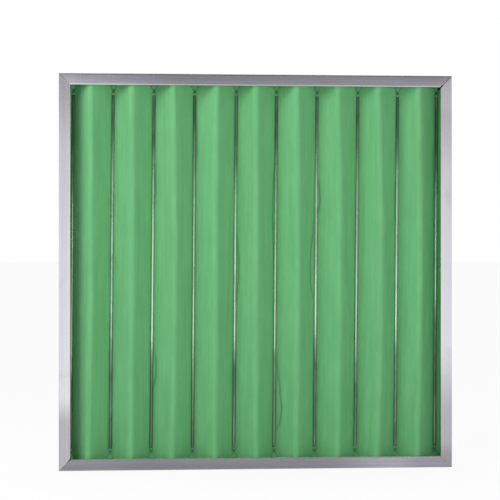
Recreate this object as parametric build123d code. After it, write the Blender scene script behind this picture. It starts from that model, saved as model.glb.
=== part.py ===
from build123d import *
import os
from math import asin, atan2, cos, hypot, pi, sqrt, tan

# Pleated air filter panel that stands upright on its bottom edge.
# X runs to the right, Z up and Y from the front face to the rear face.
# A depth is measured from the front plane towards the rear. Lengths are in millimetres.

# Overall size of the framed panel
panel_width = 595.0
panel_height = 595.0
panel_depth = 46.0

# Bent sheet of the four rails
sheet_thickness = 1.2
web_bend_radius = 2.0
front_lip = 17.5
rear_lip = 14.5
curl_depth = 3.5
curl_radius = 2.2
mitre_gap = 0.3
mitre_chamfer = 0.4
slit_width = 2.6
slit_length = 8.5

# Pleated medium
pleat_count = 9
media_thickness = 4.0
ridge_inner_radius = 3.0
crest_clearance = 0.5
wall_inner_radius = 3.0
wall_edge_recess = 1.5
media_end_clearance = 0.2
slot_clearance = 0.3

# Rods that lie in the front valleys and hook round the rear mesh
rod_diameter = 4.0
rod_bend_radius = 4.0
rod_end_gap = 8.5
hook_tail = 6.0
rod_clearance = 0.1

# Welded mesh behind the pleats
wire_diameter = 2.5
weld_sink = 0.4
mesh_clearance = 0.4
wire_end_clearance = 0.8
across_wire_count = 11
upright_wire_count = 10

# Corner brackets, and the flush rivets that hold them to the upright rails
bracket_thickness = 1.5
bracket_width = 28.0
bracket_arm = 45.0
bracket_bend_radius = 2.0
bracket_inner_radius = 0.5
rivet_places = (15.0, 35.0)
rivet_head_diameter = 6.0
rivet_shank_diameter = 3.2
rivet_head_sink = 0.05
rivet_pit_diameter = 1.6
rivet_pit_depth = 0.7
rivet_tail_diameter = 5.0
rivet_tail_height = 2.0
rivet_tail_round = 0.8
rivet_hole_clearance = 0.05
rivet_tail_clearance = 0.8

# Overlap of a cutting tool past the face that it cuts
cut_margin = 1.0

# Values that follow from the sizes above
half_width = panel_width / 2
half_height = panel_height / 2
half_depth = panel_depth / 2
rod_radius = rod_diameter / 2
wire_radius = wire_diameter / 2
media_half = media_thickness / 2

upright_wire_depth = panel_depth - curl_depth - mesh_clearance - wire_radius
across_wire_depth = upright_wire_depth - wire_diameter + weld_sink
valley_rear_depth = across_wire_depth - wire_radius - rod_clearance
rod_depth = valley_rear_depth - media_thickness - rod_clearance - rod_radius
crest_depth = curl_depth + crest_clearance

valley_radius = rod_radius + rod_clearance + media_half
ridge_radius = ridge_inner_radius + media_half
wall_radius = wall_inner_radius + media_half
ridge_depth = crest_depth + media_half + ridge_radius
pleat_pitch = (panel_width - 2 * front_lip) / pleat_count
pleat_rise = rod_depth - ridge_depth
pleat_angle = atan2(pleat_rise, pleat_pitch / 2) + asin(
    (valley_radius + ridge_radius) / hypot(pleat_pitch / 2, pleat_rise)
)

leg_height = half_height - front_lip - rod_end_gap - rod_radius
outer_wire_height = leg_height - rod_radius - rod_clearance - wire_radius
hook_radius = leg_height - outer_wire_height
hook_depth = across_wire_depth + hook_radius

wire_pitch = 2 * outer_wire_height / (across_wire_count - 1)
wire_end_x = half_width - sheet_thickness - bracket_thickness - wire_end_clearance
wire_end_z = half_height - sheet_thickness - bracket_thickness - wire_end_clearance

rod_places = [front_lip - half_width + pleat_pitch * i for i in range(pleat_count + 1)]


def at_depth(depth):
    """Y of a plane that lies this far behind the front plane."""
    return depth - half_depth


def closed_band(first_side, second_side):
    """Face between two open lines that run the same way."""
    start = Line(first_side @ 0, second_side @ 0)
    end = Line(first_side @ 1, second_side @ 1)
    return make_face([*first_side.edges(), *end.edges(), *second_side.edges(), *start.edges()])


def channel_side(inset):
    """One side of the bent sheet: x is the way in from the web, y the depth."""
    corners = [
        (front_lip - inset, curl_depth),
        (front_lip - inset, inset),
        (inset, inset),
        (inset, panel_depth - inset),
        (rear_lip - inset, panel_depth - inset),
        (rear_lip - inset, panel_depth - curl_depth),
    ]
    curl = curl_radius - inset
    bend = web_bend_radius - inset
    return FilletPolyline(*corners, radius=[curl, bend, bend, curl])


def mitre_prism(length):
    """Block whose slanted ends are the mitres, with their front and rear edges broken."""
    reach = length / 2 - mitre_gap / sqrt(2)
    rise = max(front_lip, rear_lip) + cut_margin
    outline = Polyline(
        (-reach, 0), (reach, 0), (reach - rise, rise), (rise - reach, rise), close=True
    )
    block = extrude(Plane.XZ * make_face(outline), amount=half_depth, both=True)
    slanted = [e for e in block.edges() if abs(e.tangent_at(0).X * e.tangent_at(0).Z) > 0.1]
    return chamfer(slanted, mitre_chamfer)


def rivet_hole():
    """Countersunk hole through a web and its bracket, along +Z from the outer face."""
    shank = rivet_shank_diameter / 2 + rivet_hole_clearance
    head = rivet_head_diameter / 2 + rivet_hole_clearance
    through = sheet_thickness + bracket_thickness + cut_margin
    outline = Polyline(
        (0, 0), (head, 0), (shank, sheet_thickness), (shank, through), (0, through), close=True
    )
    return revolve(Plane.XZ * make_face(outline), Axis.Z)


def rivet():
    """Flush blind rivet along +Z from the outer face of a web."""
    shank = rivet_shank_diameter / 2
    taper = (rivet_head_diameter / 2 - shank) / sheet_thickness
    head = rivet_head_diameter / 2 - taper * rivet_head_sink
    pit = rivet_pit_diameter / 2
    tail = rivet_tail_diameter / 2
    pit_floor = rivet_head_sink + rivet_pit_depth
    seat = sheet_thickness + bracket_thickness
    outline = Polyline(
        (0, pit_floor),
        (pit, pit_floor),
        (pit, rivet_head_sink),
        (head, rivet_head_sink),
        (shank, sheet_thickness),
        (shank, seat),
        (tail, seat),
        (tail, seat + rivet_tail_height),
        (0, seat + rivet_tail_height),
        close=True,
    )
    solid = revolve(Plane.XZ * make_face(outline), Axis.Z)
    tail_rim = solid.edges().filter_by(GeomType.CIRCLE).sort_by(Axis.Z)[-1]
    return fillet(tail_rim, rivet_tail_round)


def rail(length, riveted):
    """Mitred channel along X, with the outer face of its web at z = 0, and holes if riveted."""
    profile = closed_band(channel_side(0), channel_side(sheet_thickness))
    end_plane = Plane(origin=(length / 2, -half_depth, 0), x_dir=(0, 0, 1), z_dir=(-1, 0, 0))
    channel = extrude(end_plane * profile, amount=length) & mitre_prism(length)
    if riveted:
        for end in (-1, 1):
            for place in rivet_places:
                channel -= Pos(end * (length / 2 - sheet_thickness - place), 0, 0) * rivet_hole()
    return channel


def mitre_slit(side, end):
    """Wedge that opens the mitre at the inner corner of the front lips on this side and end."""
    inner = Vector(side * (half_width - front_lip), end * (half_height - front_lip))
    outward = Vector(side, end).normalized()
    across = Vector(-outward.Y, outward.X) * slit_width / 2
    mouth = inner - outward * cut_margin
    wedge = Polyline(mouth + across, mouth - across, inner + outward * slit_length, close=True)
    front = Plane(origin=(0, at_depth(0), half_height), x_dir=(1, 0, 0), z_dir=(0, -1, 0))
    return extrude(front * make_face(wedge), amount=-curl_depth - cut_margin)


def rails():
    """The four rails in place, with the two slits that show at opposite corners."""
    slit_top_right = mitre_slit(1, 1)
    slit_bottom_left = mitre_slit(-1, -1)
    level = rail(panel_width, riveted=False)
    upright = rail(panel_height, riveted=True)
    bottom = level - slit_bottom_left
    top = Pos(0, 0, panel_height) * Rot(0, 180, 0) * level - slit_top_right
    left = Pos(-half_width, 0, half_height) * Rot(0, 90, 0) * upright
    right = Pos(half_width, 0, half_height) * Rot(0, -90, 0) * upright
    return {
        "rail_bottom": bottom,
        "rail_top": top,
        "rail_left": left - slit_bottom_left,
        "rail_right": right - slit_top_right,
    }


def media_side(offset):
    """Folded line at this offset from the middle of the medium, positive towards the rear."""
    valley = rod_depth + (valley_radius + offset) / cos(pleat_angle)
    ridge = ridge_depth - (ridge_radius - offset) / cos(pleat_angle)
    wall = half_width - sheet_thickness - media_end_clearance - media_half + offset
    last_rod = rod_places[-1]
    turn = valley - (wall - last_rod) * tan(pleat_angle)
    edge = curl_depth + wall_edge_recess

    folds = []
    radii = []
    for i, x in enumerate(rod_places):
        folds.append((x, at_depth(valley)))
        radii.append(valley_radius + offset)
        if i < pleat_count:
            folds.append((x + pleat_pitch / 2, at_depth(ridge)))
            radii.append(ridge_radius - offset)

    left_end = [(-wall, at_depth(edge)), (-wall, at_depth(turn))]
    right_end = [(wall, at_depth(turn)), (wall, at_depth(edge))]
    bend = wall_radius + offset
    return FilletPolyline(*left_end, *folds, *right_end, radius=[bend, *radii, bend])


def media_notches():
    """Blocks that clear the corner brackets and the tails of their rivets."""
    arm = half_width - sheet_thickness - bracket_arm - rivet_tail_clearance
    tail_reach = bracket_thickness + rivet_tail_height + rivet_tail_clearance
    end_inner = half_height - sheet_thickness - tail_reach
    wall_inner = half_width - sheet_thickness - max(
        tail_reach, media_end_clearance + media_thickness + rod_clearance
    )
    arm_z = half_height - sheet_thickness - bracket_arm - rivet_tail_clearance
    align = (Align.MIN, Align.CENTER, Align.MIN)
    along_x = Box(half_width - arm, panel_depth, half_height - end_inner, align=align)
    along_z = Box(half_width - wall_inner, panel_depth, half_height - arm_z, align=align)
    notches = []
    for turn in (0, 180):
        for flip in (False, True):
            pair = [Pos(arm, 0, end_inner) * along_x, Pos(wall_inner, 0, arm_z) * along_z]
            for block in pair:
                block = mirror(block, about=Plane.YZ) if flip else block
                notches.append(Pos(0, 0, half_height) * Rot(0, turn, 0) * block)
    return notches


def rod_slots():
    """Openings at both ends of each valley, where the rod goes through to the mesh."""
    inner = leg_height - rod_bend_radius - slot_clearance
    outer = leg_height + rod_radius + slot_clearance
    width = rod_diameter + 2 * slot_clearance
    slot = Box(width, valley_rear_depth - rod_depth + cut_margin, outer - inner)
    middle_depth = (rod_depth + valley_rear_depth + cut_margin) / 2
    slots = []
    for x in rod_places:
        for end in (-1, 1):
            z = half_height + end * (inner + outer) / 2
            slots.append(Pos(x, at_depth(middle_depth), z) * slot)
    return slots


def filter_media():
    """The folded medium, one sheet from wall to wall."""
    section = closed_band(media_side(-media_half), media_side(media_half))
    low = sheet_thickness + media_end_clearance
    folded = extrude(Plane.XY.offset(low) * section, amount=panel_height - 2 * low)
    return folded - media_notches() - rod_slots()


def pleat_rod(x):
    """Staple of round rod: straight in the valley, both ends hooked round a mesh wire."""
    tail = outer_wire_height - hook_tail
    route = [
        (hook_depth, tail),
        (hook_depth, leg_height),
        (rod_depth, leg_height),
        (rod_depth, -leg_height),
        (hook_depth, -leg_height),
        (hook_depth, -tail),
    ]
    points = [(x, at_depth(depth), half_height + z) for depth, z in route]
    bends = [hook_radius, rod_bend_radius, rod_bend_radius, hook_radius]
    path = FilletPolyline(*points, radius=bends)
    section = Plane(origin=path @ 0, z_dir=path % 0) * Circle(rod_radius)
    return sweep(section, path=path)


def rear_mesh():
    """Welded mesh: the wires across lie against the valleys, the upright ones behind them."""
    across = Rot(0, 90, 0) * Cylinder(wire_radius, 2 * wire_end_x)
    upright = Cylinder(wire_radius, 2 * wire_end_z)
    wires = []
    for i in range(across_wire_count):
        z = half_height - outer_wire_height + wire_pitch * i
        wires.append(Pos(0, at_depth(across_wire_depth), z) * across)
    for i in range(upright_wire_count):
        x = wire_pitch * (i - (upright_wire_count - 1) / 2)
        wires.append(Pos(x, at_depth(upright_wire_depth), half_height) * upright)
    return wires[0].fuse(*wires[1:])


def corner_bracket():
    """Bent strip in the bottom left corner, with holes for the rivets of its upright arm."""
    reach = sheet_thickness + bracket_arm
    inside = sheet_thickness + bracket_thickness
    outer = FilletPolyline(
        (reach, sheet_thickness),
        (sheet_thickness, sheet_thickness),
        (sheet_thickness, reach),
        radius=bracket_bend_radius,
    )
    inner = FilletPolyline(
        (reach, inside), (inside, inside), (inside, reach), radius=bracket_inner_radius
    )
    section = Plane.XZ * closed_band(outer, inner)
    strip = extrude(section, amount=bracket_width / 2, both=True)
    for place in rivet_frames():
        strip -= place * rivet_hole()
    return Pos(-half_width, 0, 0) * strip


def rivet_frames():
    """Places of the two rivets of one bracket, from the panel's outer corner, heads outwards."""
    return [Pos(0, 0, sheet_thickness + place) * Rot(0, 90, 0) for place in rivet_places]


def at_corners(shape):
    """The shape of the bottom left corner, mirrored to each of the four corners, by name."""
    middle = Plane.XY.offset(half_height)
    bottom = {"bottom_left": shape, "bottom_right": mirror(shape, about=Plane.YZ)}
    top = {
        name.replace("bottom", "top"): mirror(piece, about=middle)
        for name, piece in bottom.items()
    }
    return bottom | top


def build():
    """All sub-parts by node name."""
    parts = rails()
    parts["filter_media"] = filter_media()
    for i, x in enumerate(rod_places):
        parts[f"pleat_rod_{i + 1:02d}"] = pleat_rod(x)
    parts["rear_mesh"] = rear_mesh()
    for corner, bracket in at_corners(corner_bracket()).items():
        parts[f"corner_bracket_{corner}"] = bracket
    rivets = []
    for place in rivet_frames():
        rivets += at_corners(Pos(-half_width, 0, 0) * place * rivet()).values()
    parts["rivets"] = Compound(rivets)
    return parts


os.makedirs("parts", exist_ok=True)
for node, shape in build().items():
    export_step(shape, f"parts/{node}.step")
print("pleat pitch", round(pleat_pitch, 3), "slope", round(pleat_angle * 180 / pi, 2), "degrees")
print("rod depth", round(rod_depth, 2), "hook radius", round(hook_radius, 2))
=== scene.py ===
# %% [markdown]
# A pleated air filter panel
#
# This notebook dresses a square filter panel. An aluminium channel runs round the outside, a thick
# green felt is folded into nine deep pleats inside it, and a bright steel rod lies in the bottom of
# each fold. The metal pieces come from the CAD model, which is exact, so they only get finishes here.
# The felt and the rods are made again, because they lean and bulge a little on the real panel.

import math

import bpy
import numpy as np
from mathutils import Matrix, Vector


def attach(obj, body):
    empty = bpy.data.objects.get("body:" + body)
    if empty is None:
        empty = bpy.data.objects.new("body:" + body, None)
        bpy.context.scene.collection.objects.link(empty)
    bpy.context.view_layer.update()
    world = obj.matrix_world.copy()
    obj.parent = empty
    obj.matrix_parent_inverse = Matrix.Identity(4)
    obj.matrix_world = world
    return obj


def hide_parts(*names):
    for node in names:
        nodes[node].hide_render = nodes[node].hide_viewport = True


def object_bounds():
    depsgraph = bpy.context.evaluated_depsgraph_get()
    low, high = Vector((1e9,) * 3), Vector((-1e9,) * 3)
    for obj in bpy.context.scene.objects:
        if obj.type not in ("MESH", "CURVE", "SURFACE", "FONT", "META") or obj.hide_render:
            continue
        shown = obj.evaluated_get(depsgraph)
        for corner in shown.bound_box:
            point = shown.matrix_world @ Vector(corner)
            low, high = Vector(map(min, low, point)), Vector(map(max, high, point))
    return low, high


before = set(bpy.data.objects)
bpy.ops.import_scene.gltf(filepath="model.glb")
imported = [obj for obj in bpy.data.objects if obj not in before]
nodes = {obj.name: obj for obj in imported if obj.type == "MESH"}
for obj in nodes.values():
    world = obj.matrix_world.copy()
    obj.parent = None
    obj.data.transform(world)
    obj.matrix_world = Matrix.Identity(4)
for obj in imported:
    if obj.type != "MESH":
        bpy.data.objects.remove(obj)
cad_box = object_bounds()
print(len(nodes), "CAD nodes, from", tuple(cad_box[0]), "to", tuple(cad_box[1]))

# %% [markdown]
# The panel stands on the floor at height zero. X runs to the right along its bottom edge, Y runs from
# the front face to the back, and Z runs up along the folds. A depth behind the front face is easier
# to think in than a Y, so one small helper turns the first into the second.

# %% The panel's own measures
front_y = cad_box[0].y
middle_z = (cad_box[0].z + cad_box[1].z) / 2
millimetre = 0.001


def at_depth(depth):
    """Y of a point this far behind the front face, in millimetres."""
    return front_y + depth * millimetre


print("front face at y", round(front_y, 4), "and middle height", round(middle_z, 4))

# %% [markdown]
# The photograph was taken from almost straight in front, a little left of the middle and level with
# it, with a long lens, so the panel keeps its square look. A camera in Blender looks along its own
# negative Z axis, so its rotation is built from the three directions right, up and back.

# %% Camera
camera_yaw = math.radians(4.68)
camera_pitch = math.radians(0.08)
# from the middle of the front face to the camera: right, forward and up as the camera sees it
camera_offset = Vector((-0.0108, -2.712, 0.0329))
photo_width = 500
focal_pixels = 1800
sensor_width = 36
farthest_seen = 200

turn = Matrix.Rotation(camera_pitch, 3, "X") @ Matrix.Rotation(camera_yaw, 3, "Z")
back_to_panel = turn.transposed()
camera_data = bpy.data.cameras.new("camera")
camera_data.sensor_width = sensor_width
camera_data.lens = sensor_width * focal_pixels / photo_width
camera_data.clip_end = farthest_seen
camera = bpy.data.objects.new("camera", camera_data)
bpy.context.scene.collection.objects.link(camera)
place = back_to_panel @ camera_offset + Vector((0, front_y, middle_z))
right = back_to_panel @ Vector((1, 0, 0))
up = back_to_panel @ Vector((0, 0, 1))
back = back_to_panel @ Vector((0, -1, 0))
facing = Matrix((right, up, back)).transposed().to_4x4()
camera.matrix_world = Matrix.Translation(place) @ facing
bpy.context.scene.camera = camera
bpy.context.scene.view_settings.view_transform = "Standard"
print("camera at", tuple(round(value, 3) for value in place), "lens", camera_data.lens)

# %% [markdown]
# The world and every finish are built from nodes. Four helpers keep that short: one adds a node, one
# adds a sum or a product, one carries a value between two limits to two other numbers, and one takes
# coordinates apart.

# %% Helpers for nodes


def add_node(tree, kind, **values):
    """New node with its own settings and, where a name is an input's, that input's value."""
    node = tree.nodes.new(kind)
    for name, value in values.items():
        if hasattr(node, name):
            setattr(node, name, value)
        else:
            node.inputs[name.replace("_", " ")].default_value = value
    return node


def math_node(tree, operation, *values, clamp=False):
    """Math node on some values or sockets, which gives its output socket."""
    node = add_node(tree, "ShaderNodeMath", operation=operation, use_clamp=clamp)
    for socket, value in zip(node.inputs, values):
        if isinstance(value, bpy.types.NodeSocket):
            tree.links.new(value, socket)
        else:
            socket.default_value = value
    return node.outputs[0]


def ramp(tree, value, low, high, to_low=0.0, to_high=1.0, smooth=True):
    """Value between two limits, carried to two others, with a soft start and end."""
    node = add_node(tree, "ShaderNodeMapRange", clamp=True)
    node.interpolation_type = "SMOOTHSTEP" if smooth else "LINEAR"
    tree.links.new(value, node.inputs[0])
    for socket, limit in zip(node.inputs[1:5], (low, high, to_low, to_high)):
        socket.default_value = limit
    return node.outputs[0]


def separate(tree, coords):
    """The X, Y and Z sockets of some coordinates, by name."""
    node = add_node(tree, "ShaderNodeSeparateXYZ")
    tree.links.new(coords, node.inputs[0])
    return node.outputs


print("node helpers ready")

# %% [markdown]
# Bare metal shows what is around it more than its own colour. In the photograph the upright rails are
# bright in the middle and dull at their ends, which tells of a long bright window level with the
# camera in a dimmer room, and a white wall behind the panel. The world is painted that way: white
# behind, grey in front, with one bright band at eye level. Only reflections and bounced light see the
# grey room: where the camera looks past the panel, the world is plain white from every side.

# %% World
# how bright each part of the world is, where 1 is white
wall_tone = 1.0
room_tone = 0.10
band_tone = 0.95
ceiling_tone = 0.25
# where the parts lie on a sphere of radius 1 round the panel
band_middle = -0.001
band_inside = 0.020
band_outside = 0.150
ceiling_start = 0.30
ceiling_full = 0.75
wall_blend = 0.10

world = bpy.data.worlds.new("studio_world")
bpy.context.scene.world = world
world.use_nodes = True
sky = world.node_tree
background = sky.nodes["Background"]
direction = separate(sky, add_node(sky, "ShaderNodeTexCoord").outputs["Generated"])

from_band = math_node(sky, "ABSOLUTE", math_node(sky, "SUBTRACT", direction["Z"], band_middle))
room = ramp(sky, from_band, band_inside, band_outside, band_tone, room_tone)
ceiling = ramp(sky, direction["Z"], ceiling_start, ceiling_full, 0.0, ceiling_tone - room_tone)
room = math_node(sky, "ADD", room, ceiling)
behind = ramp(sky, direction["Y"], -wall_blend, wall_blend)
wall_part = math_node(sky, "MULTIPLY", behind, wall_tone)
front_part = math_node(sky, "MULTIPLY", math_node(sky, "SUBTRACT", 1.0, behind), room)
around = math_node(sky, "ADD", wall_part, front_part)
seen = add_node(sky, "ShaderNodeLightPath").outputs["Is Camera Ray"]
sky.links.new(math_node(sky, "MAXIMUM", around, seen), background.inputs["Strength"])
background.inputs["Color"].default_value = (1, 1, 1, 1)
print("world: wall", wall_tone, "room", room_tone, "band", band_tone)

# %% [markdown]
# A large soft lamp stands high on the left, in front of the panel. It makes the left flank of each
# pleat lighter than the right one, and it throws the soft shadow of the top rail on the felt. A wide
# one stands at the panel's height, a little right of the middle, and fills the right flanks. Both are
# kept out of reflections, because the metal already mirrors the bright band of the world.

# %% Lamps
# place, width and height in metres, and power in watts
lamps = {
    "high_lamp": (Vector((-0.90, -0.69, 1.06)), 0.65, 0.80, 8.5),
    "front_lamp": (Vector((0.45, -1.70, 0.42)), 1.00, 0.50, 10.4),
}

for name, (lamp_place, width, height, power) in lamps.items():
    lamp_data = bpy.data.lights.new(name, "AREA")
    lamp_data.shape = "RECTANGLE"
    lamp_data.size = width
    lamp_data.size_y = height
    lamp_data.energy = power
    lamp = bpy.data.objects.new(name, lamp_data)
    bpy.context.scene.collection.objects.link(lamp)
    aim = (Vector((0, 0, middle_z)) - lamp_place).to_track_quat("-Z", "Y").to_matrix().to_4x4()
    lamp.matrix_world = Matrix.Translation(lamp_place) @ aim
    lamp.visible_camera = False
    lamp.visible_glossy = False
    print(name, power, "W at", tuple(lamp_place))

# %% [markdown]
# The floor is a plain pale sheet. What the camera, a reflection or a clear piece sees of it is lifted
# towards white, as a lit studio floor is, and the panel's soft shadow stays on it.

# %% Floor
floor_width = 80
floor_tone = 0.88
floor_lift = 0.92
floor_roughness = 0.9
floor_gloss = 0.1

bpy.ops.object.select_all(action="DESELECT")
bpy.ops.mesh.primitive_plane_add(size=floor_width, location=(0, 0, 0))
floor = bpy.context.object
floor.name = "floor"
floor_material = bpy.data.materials.new("pale_floor")
floor_material.use_nodes = True
tree = floor_material.node_tree
plain = tree.nodes["Principled BSDF"]
plain.inputs["Base Color"].default_value = (floor_tone, floor_tone, floor_tone, 1)
plain.inputs["Roughness"].default_value = floor_roughness
plain.inputs["Specular IOR Level"].default_value = floor_gloss
glow = add_node(tree, "ShaderNodeEmission", Strength=1.0)
path = add_node(tree, "ShaderNodeLightPath")
seen = math_node(tree, "MAXIMUM", path.outputs["Is Camera Ray"], path.outputs["Is Glossy Ray"])
seen = math_node(tree, "MAXIMUM", seen, path.outputs["Is Transmission Ray"])
share = math_node(tree, "MULTIPLY", seen, floor_lift)
blend = add_node(tree, "ShaderNodeMixShader")
tree.links.new(share, blend.inputs[0])
tree.links.new(plain.outputs[0], blend.inputs[1])
tree.links.new(glow.outputs[0], blend.inputs[2])
tree.links.new(blend.outputs[0], tree.nodes["Material Output"].inputs["Surface"])
floor.data.materials.append(floor_material)
print("floor", floor_width, "m wide")

# %% [markdown]
# Every finish starts the same way: a new material, its Principled shader with a few plain numbers,
# and the object's own coordinates, in metres, from which all the patterns are made. Noise that is
# squeezed on two axes and left long on the third gives the fine lines that a brush leaves on metal.

# %% Helpers for finishes


def new_finish(name, **numbers):
    """Material with its Principled shader's plain numbers set, and its object coordinates."""
    material = bpy.data.materials.new(name)
    material.use_nodes = True
    tree = material.node_tree
    shader = tree.nodes["Principled BSDF"]
    for socket, value in numbers.items():
        shader.inputs[socket.replace("_", " ")].default_value = value
    coords = add_node(tree, "ShaderNodeTexCoord").outputs["Object"]
    return material, tree, shader, coords


def noise(tree, coords, scale, detail=3.0, stretch=(1, 1, 1), roughness=0.5, distortion=0.0):
    """Noise at this many cells to the metre, stretched by the three factors."""
    mapping = add_node(tree, "ShaderNodeMapping")
    mapping.inputs["Scale"].default_value = tuple(scale * factor for factor in stretch)
    tree.links.new(coords, mapping.inputs["Vector"])
    texture = add_node(tree, "ShaderNodeTexNoise", Scale=1.0, Detail=detail)
    texture.inputs["Roughness"].default_value = roughness
    texture.inputs["Distortion"].default_value = distortion
    tree.links.new(mapping.outputs[0], texture.inputs["Vector"])
    return texture.outputs["Fac"]


def mix_colours(tree, factor, first, second, mode="MIX"):
    """Colour between two colours or sockets, by a factor that may be a socket too."""
    node = add_node(tree, "ShaderNodeMix", data_type="RGBA", blend_type=mode)
    factor_socket, *_, first_socket, second_socket = node.inputs[:8]
    for socket, value in ((factor_socket, factor), (first_socket, first), (second_socket, second)):
        if isinstance(value, bpy.types.NodeSocket):
            tree.links.new(value, socket)
        elif isinstance(value, tuple):
            socket.default_value = (*value, 1)
        else:
            socket.default_value = value
    return node.outputs[2]


def add_bump(tree, shader, height, strength, distance):
    """Bump from a height socket, where distance is the relief in metres."""
    bump = add_node(tree, "ShaderNodeBump", Strength=strength, Distance=distance)
    tree.links.new(height, bump.inputs["Height"])
    tree.links.new(bump.outputs[0], shader.inputs["Normal"])


def dress(piece, material):
    """Puts one finish on the whole piece."""
    piece.data.materials.clear()
    piece.data.materials.append(material)


print("helpers ready")

# %% [markdown]
# Each rail is lighter in some stretches than in others, as the light and its reflections fall on it,
# which a plain metal under this light would not show. So painted light and shade are multiplied into
# its colour: a few soft steps along the rail, and one from the inner to the outer edge of its front
# lip. A rail that runs along X is level, and one along Z is upright.

# %% Painted light and shade along the rails
lip_edge = 0.2800
lip_width = 0.0175
# painted light and shade: brightness at the inner and at the outer edge of the lip
painted_lip_shade = {"X": (1.10, 0.84), "Z": (1.03, 0.96)}
# painted light and shade: start and end of each soft step, in metres along the rail, and its
# brightness past the end
painted_rail_steps = {
    "rail_left": ((0.400, 0.500, 1.08), (0.480, 0.585, 0.90), (0.114, 0.068, 0.64)),
    "rail_right": (
        (0.440, 0.500, 0.95), (0.530, 0.560, 1.16), (0.200, 0.070, 0.60), (0.045, 0.015, 0.72)),
    "rail_top": (
        (-0.100, -0.280, 1.50), (-0.255, -0.285, 1.15), (0.040, 0.190, 1.10), (0.270, 0.290, 1.10)),
    "rail_bottom": ((-0.170, -0.250, 1.18), (0.100, 0.200, 1.55), (0.215, 0.250, 0.86)),
}


def painted_rail_shade(tree, name, along, outward, lengthwise):
    """Painted light and shade of a rail, by its place along the rail and across its lip."""
    inner, outer = painted_lip_shade[lengthwise]
    shade = ramp(tree, outward, lip_edge, lip_edge + lip_width, inner, outer, smooth=False)
    for start, end, factor in painted_rail_steps[name]:
        shade = math_node(tree, "MULTIPLY", shade, ramp(tree, along, start, end, 1.0, factor))
    return shade


print({name: len(soft_steps) for name, soft_steps in painted_rail_steps.items()}, "soft steps")

# %% [markdown]
# The curl at the inner edge of a lip and the edges of three mitres each get a painted highlight, one
# thin bright line in a pale tone. A mitre's line starts at the inner corner of the lips and runs
# outwards at its own slope, which is flatter at the top left corner than at the other two.

# %% Painted highlights on the curls and mitres
highlight_tone = (0.84, 0.88, 0.85)
painted_curl_highlight = {"rail_left": 0.5, "rail_right": 0.5, "rail_top": 0.05, "rail_bottom": 1.0}
curl_inside = 0.0012
curl_outside = 0.0024
# painted highlight on each mitre: side and end of the corner, slope of the line, and strength
painted_mitre_highlights = ((-1, 1, 0.70, 0.75), (-1, -1, 1.0, 0.60), (1, -1, 1.0, 0.45))
line_core = 0.0005
line_edge = 0.0014
corner_before = -0.001
corner_after = 0.0005


def mitre_line(tree, place, side, end, slope, strength):
    """Factor that is high on one thin line from an inner corner of the lips outwards, for a painted
    highlight.
    """
    past_side = math_node(tree, "MULTIPLY_ADD", place["X"], side, -lip_edge)
    past_end = math_node(tree, "MULTIPLY_ADD", place["Z"], end, -lip_edge - end * middle_z)
    off_line = math_node(tree, "SUBTRACT", past_end, math_node(tree, "MULTIPLY", past_side, slope))
    near = ramp(tree, math_node(tree, "ABSOLUTE", off_line), line_core, line_edge, strength, 0.0)
    for past in (past_side, past_end):
        near = math_node(tree, "MULTIPLY", near, ramp(tree, past, corner_before, corner_after))
    return near


print(len(painted_mitre_highlights), "mitres shine")

# %% [markdown]
# The frame is mill aluminium, brushed along each rail. The brush lines run along the rail, so light
# spreads across them: an upright rail mirrors the bright band at its own height, while a level rail
# blurs the band, the dim room and the floor into one grey. That is part of why the level rails look
# darker. The rest is painted shade: the level rails get darker tones, and the bottom one the darkest.
# An anisotropic shader does this. Its tangent is set square to the brush lines on every face.

# %% Brushed aluminium for the rails
# painted shade: the level rails get darker tones than the upright ones, the bottom rail the darkest
rail_tones_with_painted_shade = {
    "rail_left": ((0.79, 0.765, 0.83), (0.85, 0.83, 0.875)),
    "rail_right": ((0.79, 0.765, 0.83), (0.85, 0.83, 0.875)),
    "rail_top": ((0.46, 0.44, 0.51), (0.52, 0.51, 0.55)),
    "rail_bottom": ((0.30, 0.285, 0.34), (0.35, 0.34, 0.37)),
}
stain_tone = (0.36, 0.35, 0.34)
stain_share = 0.22
# cells to the metre across the brush lines, and how short the same cells are along them
brush_cells = 900
brush_length = 0.009
band_cells = 160
band_length = 0.02
stain_cells = 14
rail_roughness = 0.24
brush_relief = 0.00006


def brushed_tone(tree, coords, streaks, lengthwise, darker, lighter):
    """Colour of brushed metal: broad bands, fine streaks and a few stains."""
    stretch = tuple(band_length if axis == lengthwise else 1.0 for axis in "XYZ")
    bands = noise(tree, coords, band_cells, detail=3, stretch=stretch)
    stains = noise(tree, coords, stain_cells, detail=5, roughness=0.62, distortion=0.4)
    tone = mix_colours(tree, ramp(tree, bands, low=0.30, high=0.70), darker, lighter)
    fine = ramp(tree, streaks, low=0.25, high=0.75, to_low=0.90, to_high=1.06, smooth=False)
    tone = mix_colours(tree, 1.0, tone, fine, "MULTIPLY")
    stained = ramp(tree, stains, low=0.54, high=0.74, to_high=stain_share)
    return mix_colours(tree, stained, tone, stain_tone)


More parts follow.
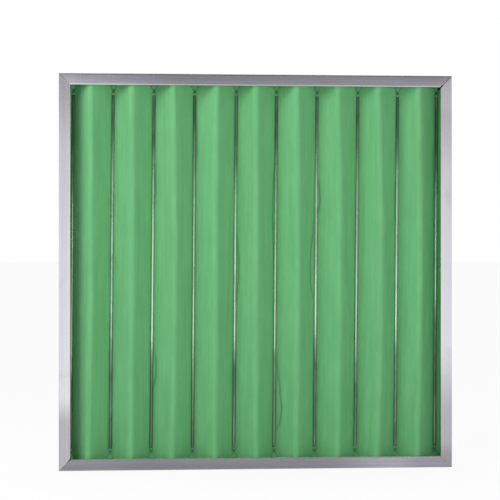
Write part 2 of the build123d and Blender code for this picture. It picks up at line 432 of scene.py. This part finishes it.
def brushed_aluminium(name, lengthwise, darker, lighter):
    """Aluminium brushed along one axis, with its painted light and shade and its painted highlights.
    """
    material, tree, shader, coords = new_finish(name, Metallic=1.0, Anisotropic=0.9)
    stretch = tuple(brush_length if axis == lengthwise else 1.0 for axis in "XYZ")
    streaks = noise(tree, coords, brush_cells, detail=4, stretch=stretch, roughness=0.6)
    tone = brushed_tone(tree, coords, streaks, lengthwise, darker, lighter)

    place = separate(tree, coords)
    if lengthwise == "X":
        from_middle = math_node(tree, "SUBTRACT", place["Z"], middle_z)
    else:
        from_middle = place["X"]
    outward = math_node(tree, "ABSOLUTE", from_middle)
    # painted highlight on the inner curl of the lip
    shine = painted_curl_highlight[name]
    curl = ramp(tree, outward, lip_edge + curl_inside, lip_edge + curl_outside, shine, 0.0)
    tone = mix_colours(tree, curl, tone, highlight_tone)
    # painted light and shade along the rail and across its lip
    shade = painted_rail_shade(tree, name, place[lengthwise], outward, lengthwise)
    tone = mix_colours(tree, 1.0, tone, shade, "MULTIPLY")
    # painted highlights along three mitres
    for mitre in painted_mitre_highlights:
        tone = mix_colours(tree, mitre_line(tree, place, *mitre), tone, highlight_tone)
    tree.links.new(tone, shader.inputs["Base Color"])

    smoothest, roughest = rail_roughness - 0.05, rail_roughness + 0.07
    rough = ramp(tree, streaks, 0.2, 0.8, smoothest, roughest, smooth=False)
    tree.links.new(rough, shader.inputs["Roughness"])
    cross = add_node(tree, "ShaderNodeVectorMath", operation="CROSS_PRODUCT")
    tree.links.new(add_node(tree, "ShaderNodeNewGeometry").outputs["Normal"], cross.inputs[0])
    cross.inputs[1].default_value = (1, 0, 0) if lengthwise == "X" else (0, 0, 1)
    tree.links.new(cross.outputs[0], shader.inputs["Tangent"])
    add_bump(tree, shader, streaks, strength=0.25, distance=brush_relief)
    return material


for name, (darker, lighter) in rail_tones_with_painted_shade.items():
    lengthwise = "X" if name in ("rail_top", "rail_bottom") else "Z"
    dress(nodes[name], brushed_aluminium(name, lengthwise, darker, lighter))
print("brushed", sorted(rail_tones_with_painted_shade))

# %% [markdown]
# The felt is one thick sheet, folded like an accordion. In cross-section it is straight legs joined by
# round bends: it wraps each rod at the back and rounds over a crest at the front, and at both ends it
# runs up the wall of the channel. The line is walked once from left to right, and each point also
# keeps its place between the folds, so the folds can be moved later and the legs follow.

# %% The folded line
pleat_count = 9
pleat_pitch = 62.2222
rod_depth = 31.3
valley_radius = 4.1
ridge_depth = 11.0
ridge_radius = 5.0
felt_thickness = 4.0
wall_x = 294.1
wall_edge_depth = 5.0
wall_radius = 5.0
bend_steps = 7
# where the points lie along a leg, closest together at its rod
leg_shares = (0.03, 0.065, 0.10, 0.14, 0.18, 0.225, 0.27, 0.32, 0.38, 0.46, 0.58, 0.72, 0.86)

rise = rod_depth - ridge_depth
centre_distance = math.hypot(pleat_pitch / 2, rise)
lean_angle = math.atan2(rise, pleat_pitch / 2)
lean_angle += math.asin((valley_radius + ridge_radius) / centre_distance)
first_rod = -pleat_pitch * pleat_count / 2


def walk_folds():
    """Points (x, depth, fold) along the folded line, in millimetres; fold counts the bends."""
    line = []

    def bend(x, depth, radius, side, fold, start, end):
        for angle in np.linspace(start, end, bend_steps + 1):
            line.append((x + radius * math.sin(angle), depth + side * radius * math.cos(angle), fold))

    def leg(to, fold_to, shares):
        start = line[-1]
        for share in shares:
            line.append(tuple(a + (b - a) * share for a, b in zip(start, (*to, fold_to))))

    upward = leg_shares
    downward = tuple(1 - share for share in reversed(leg_shares))
    short = (0.25, 0.5, 0.75)

    corner = rod_depth + valley_radius / math.cos(lean_angle)
    corner -= (wall_x + first_rod) * math.tan(lean_angle)
    wall_bend = corner - wall_radius * math.tan((math.pi / 2 - lean_angle) / 2)
    wall_centre = wall_x - wall_radius
    last_fold = 2 * pleat_count + 2

    line.append((-wall_x, wall_edge_depth, 0))
    leg((-wall_x, wall_bend), 0, short)
    bend(-wall_centre, wall_bend, wall_radius, 1, 0, -math.pi / 2, -lean_angle)
    for i in range(pleat_count + 1):
        x = first_rod + pleat_pitch * i
        side_x = valley_radius * math.sin(lean_angle)
        side_depth = rod_depth + valley_radius * math.cos(lean_angle)
        leg((x - side_x, side_depth), 2 * i + 1, downward if i else short)
        bend(x, rod_depth, valley_radius, 1, 2 * i + 1, -lean_angle, lean_angle)
        if i < pleat_count:
            crest = x + pleat_pitch / 2
            side_x = ridge_radius * math.sin(lean_angle)
            side_depth = ridge_depth - ridge_radius * math.cos(lean_angle)
            leg((crest - side_x, side_depth), 2 * i + 2, upward)
            bend(crest, ridge_depth, ridge_radius, -1, 2 * i + 2, -lean_angle, lean_angle)
    side_x = wall_centre + wall_radius * math.sin(lean_angle)
    side_depth = wall_bend + wall_radius * math.cos(lean_angle)
    leg((side_x, side_depth), last_fold, short)
    bend(wall_centre, wall_bend, wall_radius, 1, last_fold, lean_angle, math.pi / 2)
    leg((wall_x, wall_edge_depth), last_fold, short)
    line.append((wall_x, wall_edge_depth, last_fold))
    return np.array(line)


fold_line = walk_folds()
steps = np.hypot(np.diff(fold_line[:, 0]), np.diff(fold_line[:, 1]))
felt_run = np.concatenate([[0], np.cumsum(steps)])
print(len(fold_line), "points,", round(felt_run[-1], 1), "mm of felt across the panel")

# %% [markdown]
# On the real panel nothing is quite straight. The rods lean to the right by about half a degree, and
# the crests between them lean, bow and wander. Each of these is a small, smooth shift of one fold that
# depends on the height. The rows of the felt lie closer together where the rods end.

# %% Shifts of the folds
# heights from the middle of the panel, in millimetres
felt_half_height = 296.1
rod_end = 271.5
lip_height = 280.0
notch_height = 250.5
notch_end = 292.0
# one number for each rod: its lean over half its length, and its place, to the right
rod_leans = (2.0, 2.3, 2.4, 1.7, 2.1, 2.1, 2.0, 2.3, 2.0, 1.7)
rod_shifts = (1.6, -0.6, -1.1, -1.0, -0.1, -0.9, -0.8, -0.4, -1.1, -2.2)
# one number for each crest: its place between the rods, its lean, and its bow to the right
crest_offsets = (-3.5, -2.0, -1.6, 0.5, -0.5, -1.1, -0.6, -1.6, -1.4)
crest_leans = (-0.3, -1.3, -1.3, -0.9, -1.8, -1.7, -1.5, -1.1, -0.6)
crest_bows = (2.2, 1.5, 3.4, -0.6, 0.2, 1.8, 3.0, 4.9, 3.2)

crest_wander = 0.25
crest_wave = 230
wave_parts = (1.0, 0.55, 0.3)
# lowest and highest height of each band of rows, and how many rows it has
row_bands = (
    (0, notch_height, 40),
    (notch_height, rod_end, 5),
    (rod_end, lip_height, 6),
    (lip_height, notch_end, 3),
)

bands = [np.linspace(low, high, count, endpoint=False) for low, high, count in row_bands]
heights = np.concatenate([*bands, (notch_end, felt_half_height)])
heights = np.concatenate([-heights[:0:-1], heights])
chance = np.random.default_rng(7)


def slow_wave(amplitude, longest):
    """Sum of three sines along the height, in millimetres."""
    total = np.zeros(len(heights))
    for part in wave_parts:
        phase = chance.uniform(0, 2 * math.pi)
        total += amplitude * part * np.sin(2 * math.pi * heights / (longest * part) + phase)
    return total / sum(wave_parts)


fold_shift = np.zeros((2 * pleat_count + 3, len(heights)))
for i in range(pleat_count + 1):
    fold_shift[2 * i + 1] = rod_shifts[i] + rod_leans[i] * heights / rod_end
for i in range(pleat_count):
    between = (fold_shift[2 * i + 1] + fold_shift[2 * i + 3]) / 2
    share = heights / rod_end
    bowed = crest_offsets[i] + crest_leans[i] * share + crest_bows[i] * (1 - share**2)
    fold_shift[2 * i + 2] = between + bowed + slow_wave(crest_wander, crest_wave)
print("heights", len(heights), "largest shift", round(float(np.abs(fold_shift).max()), 2), "mm")

# %% [markdown]
# The felt comes away from some rods in long blisters. Each one starts and ends at the rod, is widest
# somewhere in between, lifts a little towards the front, and ends in a crease on the flank with
# painted shade.

# %% Blisters beside the rods
# rod, side (1 is right), lowest and highest point, widest place between them, reach and lift
blisters = (
    (2, 1, 85, 178, 0.5, 4.6, 0.6),
    (2, 1, -195, -112, 0.6, 7.5, 0.9),
    (3, 1, 140, 255, 0.5, 5.0, 0.7),
    (4, 1, -55, 68, 0.5, 7.0, 0.8),
    (5, -1, -5, 185, 0.5, 5.8, 0.8),
    (5, 1, -240, -125, 0.25, 11.0, 1.3),
    (6, 1, 82, 148, 0.5, 6.2, 0.9),
    (6, -1, -45, 92, 0.35, 10.8, 1.5),
    (8, -1, 60, 150, 0.5, 4.8, 0.6),
)
# how far from a rod's middle line the felt comes off it, in millimetres
rod_side = 2.4
# how the edge of a blister wavers, and how steep the blister is at the rod
edge_waver = 0.3
edge_wave = 5
swell_power = 1.5
# the crease at that edge: its width, how far it sinks for each millimetre of lift, and how dark its
# painted shade is
crevice_width = 1.2
crevice_sink = 0.4
crevice_painted_shade = 0.60


def blisters_at(height):
    """Lift in millimetres, and painted shade in the blisters' creases, along the line at this height.
    """
    lifted = np.zeros(len(fold_line))
    lines = np.zeros(len(fold_line))
    for rod, side, low, high, widest, reach, lift in blisters:
        share = (height - low) / (high - low)
        if not 0 < share < 1:
            continue
        # this power brings the middle of the bow to the blister's widest place
        bow = math.sin(math.pi * share ** (math.log(0.5) / math.log(widest)))
        edge = rod_side + (reach - rod_side) * bow + edge_waver * math.sin(height / edge_wave + rod)
        away = side * (fold_line[:, 0] - (first_rod + pleat_pitch * rod))
        inside = np.clip(away / edge, 0, 1)
        crevice = bow**0.5 * np.exp(-(((away - edge) / crevice_width) ** 2))
        swell = bow * np.sin(math.pi * inside**swell_power)
        lifted += lift * (swell - crevice_sink * crevice)
        # painted shade in the crease at the blister's edge
        lines = np.maximum(lines, crevice_painted_shade * crevice)
    return lifted, lines


print(len(blisters), "blisters")

# %% [markdown]
# Past a rod's end the fold opens under the rail's lip, and its bottom rises and flattens into a small
# three-cornered gusset with a crease on each side. That flat floor is a soft limit on the felt's
# depth. Some places get painted shade, kept as one number for each point: beside the rods, round
# their ends, along the edges and on the floors of the gussets, in the blisters' creases, and where
# only the slits of the two open mitres let the felt be seen.

# %% Gussets and painted shade in the creases
# the gusset: where it starts, how far it has risen at the lip, and how softly it meets the flanks
gusset_start = 275.0
gusset_rise = 3.6
gusset_limit = 1.6
gusset_softness = 0.4
# painted shade: the dark stem round a rod's end, at the upper and at the lower ends
upper_dark = 0.72
lower_dark = 0.50
stem_reach = 4.8
stem_fade = 2.6
stem_share = 0.6
stem_overlap = 2
# painted shade: the thin dark line on each side of a rod
contact_left = 0.30
contact_right = 0.12
contact_width = 1.8
# painted shade on the gusset's edge and floor, as shares of the stem's darkness
gusset_edge_dark = 0.85
gusset_edge_width = 1.2
gusset_floor_dark = 0.45
# past this place only a slit shows the felt, and there it gets full painted shade
hidden_x = 281.0

valley_number = np.clip(np.round((fold_line[:, 0] - first_rod) / pleat_pitch), 0, pleat_count)
from_rod = fold_line[:, 0] - (first_rod + pleat_pitch * valley_number)


def past_rods(height):
    """How far a height lies past the rods' ends: 0 where the gussets start, 1 at the lip."""
    share = (abs(height) - gusset_start) / (lip_height - gusset_start)
    return min(max(share, 0), gusset_limit)


def gusset_floor(height):
    """Depth of the gussets' flat floor at this height."""
    return rod_depth + valley_radius - gusset_rise * past_rods(height)


def painted_shade_at(height, depth, blister_shade):
    """Painted shade along the folded line at this height, where it has these depths."""
    past = past_rods(height)
    end_dark = upper_dark if height > 0 else lower_dark
    near = np.clip((stem_reach - np.abs(from_rod)) / stem_fade, 0, 1)
    near = near * near * (3 - 2 * near)
    beyond_rod = abs(height) > rod_end - stem_overlap
    stem = end_dark * near * max(1 - past / stem_share, 0) * beyond_rod
    beside = np.exp(-(((np.abs(from_rod) - rod_side) / contact_width) ** 2))
    beside = beside * np.where(from_rod < 0, contact_left, contact_right) * (abs(height) <= rod_end)
    over = depth - gusset_floor(height)
    gusset = gusset_edge_dark * np.exp(-((over / gusset_edge_width) ** 2))
    gusset = end_dark * (gusset + gusset_floor_dark * (over > 0)) * (past > 0)
    dark = np.clip(np.max([stem, beside, gusset, blister_shade], axis=0), 0, 1)
    # painted shade: felt seen only through the open mitre slits is made fully dark
    open_mitre = fold_line[:, 0] * height > 0
    dark[open_mitre & (np.abs(fold_line[:, 0]) > hidden_x) & (abs(height) >= lip_height)] = 1
    return dark


print("gusset floor at the lip", round(gusset_floor(lip_height), 1), "mm behind the front face")

# %% [markdown]
# The felt could be extruded from its folded line, but then it would be the same at every height. A
# grid with one column for each point of the line and one row for each height lets every row shift by
# itself. Its points are carried onto the fold, and the legs between the folds bulge a little, each in
# its own way.

# %% The folded felt
leg_wander = 0.45
leg_wave = 300

columns, rows = len(fold_line), len(heights)
bpy.ops.object.select_all(action="DESELECT")
bpy.ops.mesh.primitive_grid_add(x_subdivisions=columns - 1, y_subdivisions=rows - 1, size=1)
felt = bpy.context.object
felt.name = "pleated_felt"
mesh = felt.data
print("grid has", len(mesh.vertices), "points for", columns, "columns and", rows, "rows")

fold_of = fold_line[:, 2]
leg_number = np.floor(fold_of).astype(int)
along_leg = np.sin(math.pi * (fold_of - leg_number))
folds = np.arange(2 * pleat_count + 3)
run_x = np.gradient(fold_line[:, 0])
run_depth = np.gradient(fold_line[:, 1])
run_length = np.hypot(run_x, run_depth)
normal_x, normal_depth = run_depth / run_length, -run_x / run_length
leg_bulge = np.array([slow_wave(leg_wander, leg_wave) for _ in folds])

points = np.zeros((rows, columns, 3))
painted_shade = np.zeros((rows, columns))
for row, height in enumerate(heights):
    swell = along_leg * leg_bulge[leg_number, row]
    shift = np.interp(fold_of, folds, fold_shift[:, row])
    depth = fold_line[:, 1] + normal_depth * swell
    lifted, lines = blisters_at(height)
    # painted shade for this row of points
    painted_shade[row] = painted_shade_at(height, depth, lines)
    if past_rods(height) > 0:
        # the smaller of the felt's depth and the gusset's floor, with a soft change between them
        over = depth - gusset_floor(height)
        depth = depth - over - gusset_softness * np.logaddexp(0, -over / gusset_softness)
    points[row, :, 0] = (fold_line[:, 0] + shift + normal_x * swell) * millimetre
    points[row, :, 1] = at_depth(depth - lifted)
    points[row, :, 2] = middle_z + height * millimetre
mesh.vertices.foreach_set("co", points.reshape(-1))
mesh.update()
depths = (points[:, :, 1] - front_y) / millimetre
print("felt lies", round(depths.min(), 1), "to", round(depths.max(), 1), "mm behind the front face")

# %% [markdown]
# The felt keeps clear of the corner brackets, so its corners are notched as on the solid. A UV map
# holds the place on the flat sheet, which the streaks of the felt follow round every fold. A Solidify
# modifier then gives the sheet its 4 mm.

# %% Notches, map and thickness
corner_x = 0.2920
felt_smooth_angle = math.radians(50)
centres = np.array([face.center for face in mesh.polygons])
across = np.abs(centres[:, 0])
upward = np.abs(centres[:, 2] - middle_z)
gone = (across > corner_x) & (upward > notch_height * millimetre)
gone |= (upward > notch_end * millimetre) & (across > notch_height * millimetre)

flat_map = mesh.uv_layers.new(name="flat_sheet")
corners = np.zeros(len(mesh.loops), dtype=int)
mesh.loops.foreach_get("vertex_index", corners)
flat = np.zeros((rows, columns, 2))
flat[:, :, 0] = felt_run[None, :] * millimetre
flat[:, :, 1] = heights[:, None] * millimetre
flat_map.data.foreach_set("uv", flat.reshape(-1, 2)[corners].reshape(-1))
# the painted shade is kept on the points as an attribute
painted_shade_layer = mesh.attributes.new("painted_shade", "FLOAT", "POINT")
painted_shade_layer.data.foreach_set("value", painted_shade.reshape(-1))

bpy.ops.object.mode_set(mode="EDIT")
bpy.ops.mesh.select_mode(type="FACE")
bpy.ops.mesh.select_all(action="DESELECT")
bpy.ops.object.mode_set(mode="OBJECT")
mesh.polygons.foreach_set("select", gone)
bpy.ops.object.mode_set(mode="EDIT")
bpy.ops.mesh.delete(type="FACE")
bpy.ops.object.mode_set(mode="OBJECT")

solidify = felt.modifiers.new("thickness", "SOLIDIFY")
solidify.thickness = felt_thickness * millimetre
solidify.offset = 0
bpy.ops.object.modifier_apply(modifier=solidify.name)
bpy.ops.object.shade_smooth_by_angle(angle=felt_smooth_angle)
print("felt has", len(felt.data.polygons), "faces;", int(gone.sum()), "went for the notches")

# %% [markdown]
# Felt scatters light softly and has no gloss. Its green is mottled where the fibres lie thicker, dusty
# streaks run down the folds, and fine fibres give it a nap. A point attribute holds painted shade,
# which darkens the colour towards a deep green in the creases, beside and round the rods and behind
# the slits.

# %% Green felt
felt_green = (0.177, 0.500, 0.221)
felt_deep = (0.138, 0.430, 0.179)
painted_shade_green = (0.012, 0.048, 0.020)
# cells to the metre
mottle_cells = 60
dust_cells = 150
fibre_cells = 1100
nap_relief = 0.0005


def green_felt():
    """Soft green fibre, mottled and dusty, with painted shade in the creases."""
    material, tree, shader, coords = new_finish(
        "green_felt", Roughness=0.95, Specular_IOR_Level=0.05, Sheen_Weight=0.03, Sheen_Roughness=0.6)
    uv = add_node(tree, "ShaderNodeUVMap", uv_map="flat_sheet").outputs[0]
    mottle = noise(tree, coords, mottle_cells, detail=5, stretch=(1, 1, 0.4), roughness=0.62)
    dust = noise(tree, uv, dust_cells, detail=4, stretch=(1, 0.05, 1))
    fibres = noise(tree, coords, fibre_cells, detail=4, roughness=0.7, distortion=0.8)
    thick = ramp(tree, mottle, low=0.30, high=0.70, to_low=0.45)
    tone = mix_colours(tree, thick, felt_deep, felt_green)
    dusty = ramp(tree, dust, low=0.42, high=0.68, to_high=0.60)
    tone = mix_colours(tree, dusty, tone, felt_deep)
    between = ramp(tree, fibres, low=0.30, high=0.50, to_low=0.20, to_high=0.0)
    tone = mix_colours(tree, between, tone, felt_deep)
    # painted shade from the point attribute, mixed towards a deep green
    layer = add_node(tree, "ShaderNodeAttribute", attribute_name="painted_shade")
    tone = mix_colours(tree, layer.outputs["Fac"], tone, painted_shade_green)
    tree.links.new(tone, shader.inputs["Base Color"])
    relief = math_node(tree, "MULTIPLY_ADD", mottle, 1.2, fibres)
    add_bump(tree, shader, relief, strength=0.6, distance=nap_relief)
    return material


dress(felt, green_felt())
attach(felt, "root")
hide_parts("filter_media")

# %% [markdown]
# Each rod is a long staple of round steel. It lies in the fold, turns back at both ends, goes through
# the felt and hooks over the outermost wire of the mesh. One rod is made from a disc that is pulled
# and spun along that route, and then it is copied into every fold with the lean of that fold.

# %% One rod
rod_radius = 2.0
rod_sides = 24
hook_depth = 42.1
hook_radius = 3.35
bend_radius = 4.0
leg_height = 269.5
tail_height = 260.15
spin_steps = 6
merge_distance = 1e-5
rod_smooth_angle = math.radians(40)


def start_disc(name, x, depth, height):
    """Flat disc in edit mode, all selected, that faces up."""
    bpy.ops.object.select_all(action="DESELECT")
    where = (x * millimetre, at_depth(depth), middle_z + height * millimetre)
    bpy.ops.mesh.primitive_circle_add(
        vertices=rod_sides, radius=rod_radius * millimetre, fill_type="NGON", location=where)
    bpy.context.object.name = name
    bpy.ops.object.mode_set(mode="EDIT")
    bpy.ops.mesh.select_all(action="SELECT")


def pull(depth, height):
    """Extrudes the selected end by this much depth and height, in millimetres."""
    move = (0, depth * millimetre, height * millimetre)
    bpy.ops.mesh.extrude_region_move(TRANSFORM_OT_translate={"value": move})


def spin(depth, height):
    """Spins the selected end a quarter turn over a level axis at this place."""
    centre = (0, at_depth(depth), middle_z + height * millimetre)
    bpy.ops.mesh.spin(
        steps=spin_steps, angle=-math.pi / 2, center=centre, axis=(1, 0, 0), use_normal_flip=False)


start_disc("rod_pattern", 0, hook_depth, tail_height)
rod_pattern = bpy.context.object
top = leg_height - hook_radius
pull(0, top - tail_height)
spin(hook_depth - hook_radius, top)
pull(rod_depth + bend_radius - (hook_depth - hook_radius), 0)
spin(rod_depth + bend_radius, leg_height - bend_radius)
pull(0, -2 * (leg_height - bend_radius))
spin(rod_depth + bend_radius, -(leg_height - bend_radius))
pull(hook_depth - hook_radius - (rod_depth + bend_radius), 0)
spin(hook_depth - hook_radius, -top)
pull(0, top - tail_height)
bpy.ops.mesh.select_all(action="SELECT")
bpy.ops.mesh.remove_doubles(threshold=merge_distance)
bpy.ops.mesh.normals_make_consistent(inside=False)
bpy.ops.object.mode_set(mode="OBJECT")
rod_pattern.data.transform(rod_pattern.matrix_world)
rod_pattern.matrix_world = Matrix.Identity(4)
bpy.ops.object.shade_smooth_by_angle(angle=rod_smooth_angle)
print("rod has", len(rod_pattern.data.polygons), "faces, size", tuple(rod_pattern.dimensions))

# %% [markdown]
# The rods are drawn wire, each one with a painted reflection along its middle and painted shade
# towards its ends. The drawing lines run along them. One finish for all ten would repeat the same
# bright stretch, so each rod gets its own from a table. Where a rod bends back through the felt, the
# bend gets a pale painted highlight, and shows from the front as a small light dot at each end.

# %% Bright drawn wire
rod_bright = (0.66, 0.74, 0.66)
rod_painted_shade_tone = (0.21, 0.27, 0.22)
bend_highlight_tone = (0.55, 0.62, 0.55)
brightest = 0.95
# painted reflection on each rod: lowest and highest bright height in metres, and how bright
painted_reflection_lengths = (
    (0.150, 0.430, 1.15),
    (0.190, 0.490, 1.10),
    (0.168, 0.465, 1.26),
    (0.160, 0.478, 1.02),
    (0.188, 0.452, 1.22),
    (0.168, 0.458, 1.05),
    (0.195, 0.465, 1.32),
    (0.162, 0.492, 1.02),
    (0.182, 0.470, 1.28),
    (0.240, 0.425, 1.40),
)
painted_shade_fade = 0.058
bend_height = (leg_height - bend_radius) * millimetre
# painted highlight on the rod's bends: where it starts and where it is full, and its roughness
bend_highlight_start = 0.0015
bend_highlight_full = 0.0028
bend_highlight_roughness = 0.5
# cells to the metre
draw_cells = 1400
patch_cells = 45
draw_relief = 0.00005


def drawn_wire(name, lowest, highest, shine):
    """Steel wire: painted reflection between two heights, painted shade past them, faint lines and
    dull patches, painted highlight on the bends.
    """
    material, tree, shader, coords = new_finish(name)
    lines = noise(tree, coords, draw_cells, detail=3, stretch=(1, 1, 0.01))
    patches = noise(tree, coords, patch_cells, detail=4, stretch=(1, 1, 0.35), roughness=0.6)
    height = separate(tree, coords)["Z"]
    # painted shade past the ends of the painted reflection, with random dull patches
    below = ramp(tree, height, lowest - painted_shade_fade, lowest + painted_shade_fade, 1.0, 0.0)
    above = ramp(tree, height, highest - painted_shade_fade, highest + painted_shade_fade)
    blotches = ramp(tree, patches, low=0.35, high=0.7, to_low=-0.2, to_high=0.2)
    shade_and_patches = math_node(tree, "ADD", math_node(tree, "MAXIMUM", below, above), blotches, clamp=True)
    # painted reflection: the steel tone made brighter along the middle
    reflection_tone = tuple(min(part * shine, brightest) for part in rod_bright)
    tone = mix_colours(tree, shade_and_patches, reflection_tone, rod_painted_shade_tone)
    from_middle = math_node(tree, "ABSOLUTE", math_node(tree, "SUBTRACT", height, middle_z))
    # painted highlight: the bends are pale and less metallic
    bend_highlight = ramp(tree, from_middle, bend_height + bend_highlight_start, bend_height + bend_highlight_full)
    tone = mix_colours(tree, bend_highlight, tone, bend_highlight_tone)
    tree.links.new(tone, shader.inputs["Base Color"])
    metal = ramp(tree, bend_highlight, low=0.0, high=1.0, to_low=1.0, to_high=0.3)
    tree.links.new(metal, shader.inputs["Metallic"])
    patchy = ramp(tree, patches, low=0.4, high=0.7, to_low=0.20, to_high=0.32)
    dull_roughness = ramp(tree, shade_and_patches, low=0.0, high=1.0, to_low=0.2, to_high=0.45)
    rough = math_node(tree, "MAXIMUM", patchy, dull_roughness)
    rough = math_node(tree, "MAXIMUM", rough, math_node(tree, "MULTIPLY", bend_highlight, bend_highlight_roughness))
    tree.links.new(rough, shader.inputs["Roughness"])
    add_bump(tree, shader, lines, strength=0.2, distance=draw_relief)
    return material


for i in range(pleat_count + 1):
    rod = bpy.data.objects.new(f"rod_{i + 1:02d}", rod_pattern.data.copy())
    bpy.context.scene.collection.objects.link(rod)
    x = (first_rod + pleat_pitch * i + rod_shifts[i]) * millimetre
    tilt = math.atan2(rod_leans[i], rod_end)
    centre = Matrix.Translation((0, 0, middle_z))
    leaning = centre @ Matrix.Rotation(tilt, 4, "Y") @ centre.inverted()
    rod.data.transform(Matrix.Translation((x, 0, 0)) @ leaning)
    dress(rod, drawn_wire(rod.name, *painted_reflection_lengths[i]))
    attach(rod, "root")
    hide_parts(f"pleat_rod_{i + 1:02d}")
bpy.data.objects.remove(rod_pattern)
print(pleat_count + 1, "rods")

# %% [markdown]
# The mesh behind the felt and the corner brackets are zinc plated steel. Zinc is bluish and dull, with
# small patches that differ in brightness. The rivets are plain satin aluminium.

# %% Zinc and satin aluminium
grain_cells = 1500
grain_relief = 0.00005


def zinc(name, light, dark, cells):
    """Zinc plate with small patches and a grainy surface."""
    material, tree, shader, coords = new_finish(name, Metallic=1.0)
    patches = noise(tree, coords, cells, detail=4, roughness=0.55)
    grain = noise(tree, coords, grain_cells, detail=2)
    tone = mix_colours(tree, ramp(tree, patches, low=0.35, high=0.65), dark, light)
    tree.links.new(tone, shader.inputs["Base Color"])
    rough = ramp(tree, patches, low=0.3, high=0.7, to_low=0.48, to_high=0.34)
    tree.links.new(rough, shader.inputs["Roughness"])
    add_bump(tree, shader, grain, strength=0.2, distance=grain_relief)
    return material


mesh_finish = zinc("mesh_zinc", (0.62, 0.63, 0.64), (0.46, 0.47, 0.48), cells=220)
bracket_finish = zinc("bracket_zinc", (0.60, 0.61, 0.62), (0.47, 0.48, 0.49), cells=130)
rivet_finish = zinc("rivet_satin", (0.76, 0.76, 0.77), (0.66, 0.66, 0.67), cells=400)
dress(nodes["rear_mesh"], mesh_finish)
dress(nodes["rivets"], rivet_finish)
for name in sorted(nodes):
    if name.startswith("corner_bracket"):
        dress(nodes[name], bracket_finish)
print("zinc on the mesh and brackets, satin on the rivets")
